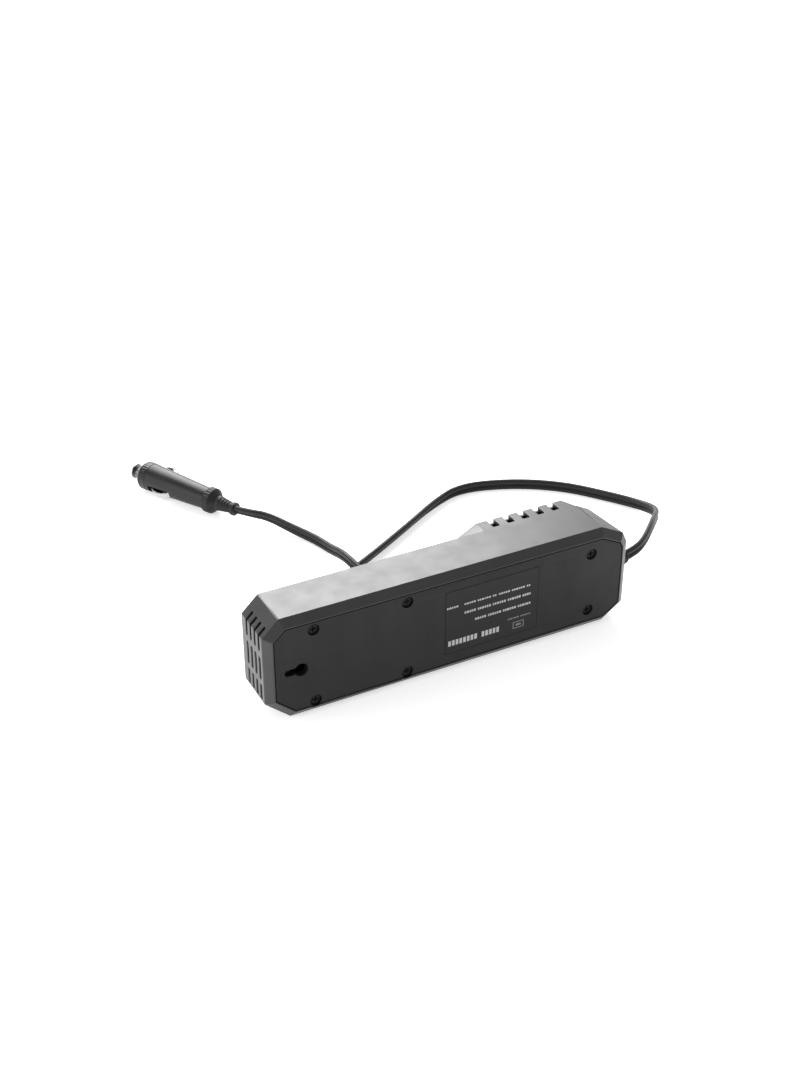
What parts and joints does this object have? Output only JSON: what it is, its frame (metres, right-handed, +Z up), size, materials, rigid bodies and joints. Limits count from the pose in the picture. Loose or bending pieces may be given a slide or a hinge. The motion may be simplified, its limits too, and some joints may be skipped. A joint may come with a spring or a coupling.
{
  "type": "power inverter",
  "caption": "Bar-shaped car power inverter: faceted housing with a mains outlet, charging ports, a rocker switch and a fan, on a cord with an accessory plug.",
  "frame": {"origin": "middle of the housing's underside, with the housing standing on its long side", "axes": "+X along the housing to the end where the cord leaves, +Y out of the front with the outlet, +Z up"},
  "size_m": [0.3158, 0.2895, 0.066],
  "materials": {
    "housing": "fine matt texture, dark grey",
    "base_plate": "fine matt texture, near black",
    "screws": "zinc plated",
    "label": "printed film",
    "cord": "satin",
    "relief": "matt",
    "plug_boot": "satin",
    "plug_shell": "semi gloss",
    "plug_metal": "nickel plated",
    "fuse_glass": "clear glass with metal caps",
    "dark_gloss": "semi gloss",
    "inner_plastic": "moulded",
    "brass": "stamped",
    "rocker": "semi gloss",
    "port_metal": "nickel plated",
    "tongue": "moulded",
    "board": "solder mask",
    "green_lens": "tinted light pipe",
    "red_lens": "tinted light pipe",
    "led": "moulded lens",
    "fan": "moulded",
    "ferrite": "sintered ferrite",
    "copper": "enamelled copper wire",
    "heatsink": "extruded",
    "chip": "moulded",
    "capacitor": "sleeve",
    "film_capacitor": "dipped",
    "buzzer": "moulded"
  },
  "bodies": {
    "inverter": {"base_plate": "base_plate", "base_screws": "screws", "board_fuse": "fuse_glass", "board_screws": "screws", "boost_controller": "chip", "bus_capacitor": "capacitor", "buzzer": "buzzer", "choke_core": "ferrite", "choke_winding": "copper", "cord_relief": "relief", "earth_contact": "brass", "fan_frame": "fan", "fault_lens": "red_lens", "film_capacitor": "film_capacitor", "fuse_clips": "brass", "housing": "housing", "indicator_leds": "led", "input_capacitors": "capacitor", "input_heatsink": "heatsink", "input_transistor_screws": "screws", "input_transistors": "chip", "main_board": "board", "outlet_carrier": "inner_plastic", "outlet_contacts": "brass", "outlet_face": "dark_gloss", "output_controller": "chip", "output_heatsink": "heatsink", "output_transistor_screws": "screws", "output_transistors": "chip", "plug_boot": "plug_boot", "plug_far_half": "plug_shell", "plug_fuse": "fuse_glass", "plug_near_half": "plug_shell", "plug_nose_cap": "plug_shell", "plug_spring": "plug_metal", "port_board": "board", "port_panel": "dark_gloss", "power_lens": "green_lens", "rating_label": "label", "shutter_guides": "inner_plastic", "supply_cord": "cord", "switch_housing": "dark_gloss", "switch_terminals": "brass", "transformer_bobbin": "inner_plastic", "transformer_core": "ferrite", "transformer_winding": "copper", "usb_a_shells": "port_metal", "usb_a_tongues": "tongue", "usb_c_shell": "port_metal", "usb_c_tongue": "tongue"},
    "rocker": {"switch_rocker": "rocker"},
    "shutter": {"outlet_shutter": "inner_plastic"},
    "rotor": {"fan_rotor": "fan"},
    "tip": {"plug_tip": "plug_metal"},
    "near_contact": {"plug_near_contact": "plug_metal"},
    "far_contact": {"plug_far_contact": "plug_metal"}
  },
  "joints": [
    {"name": "rocker_hinge", "type": "hinge", "parent": "inverter", "child": "rocker", "pos_m": [-0.082, 0.0102, 0.033], "axis": [0, 0, 1], "range_deg": [0, 16]},
    {"name": "shutter_slide", "type": "slide", "parent": "inverter", "child": "shutter", "axis": [0, 0, -1], "range_m": [0, 0.008], "stiffness_N_per_m": 40, "springref_m": -0.01},
    {"name": "rotor_spin", "type": "hinge", "parent": "inverter", "child": "rotor", "pos_m": [-0.1106, -0.0038, 0.033], "axis": [1, 0, 0], "continuous": true},
    {"name": "tip_slide", "type": "slide", "parent": "inverter", "child": "tip", "axis": [0.4756, -0.8795, -0.0166], "range_m": [0, 0.002], "stiffness_N_per_m": 800, "springref_m": -0.004},
    {"name": "near_contact_slide", "type": "slide", "parent": "inverter", "child": "near_contact", "axis": [0.7502, 0.3956, 0.5298], "range_m": [0, 0.0015], "stiffness_N_per_m": 600, "springref_m": -0.002},
    {"name": "far_contact_slide", "type": "slide", "parent": "inverter", "child": "far_contact", "axis": [-0.7502, -0.3956, -0.5298], "range_m": [0, 0.0015], "stiffness_N_per_m": 600, "springref_m": -0.002}
  ]
}
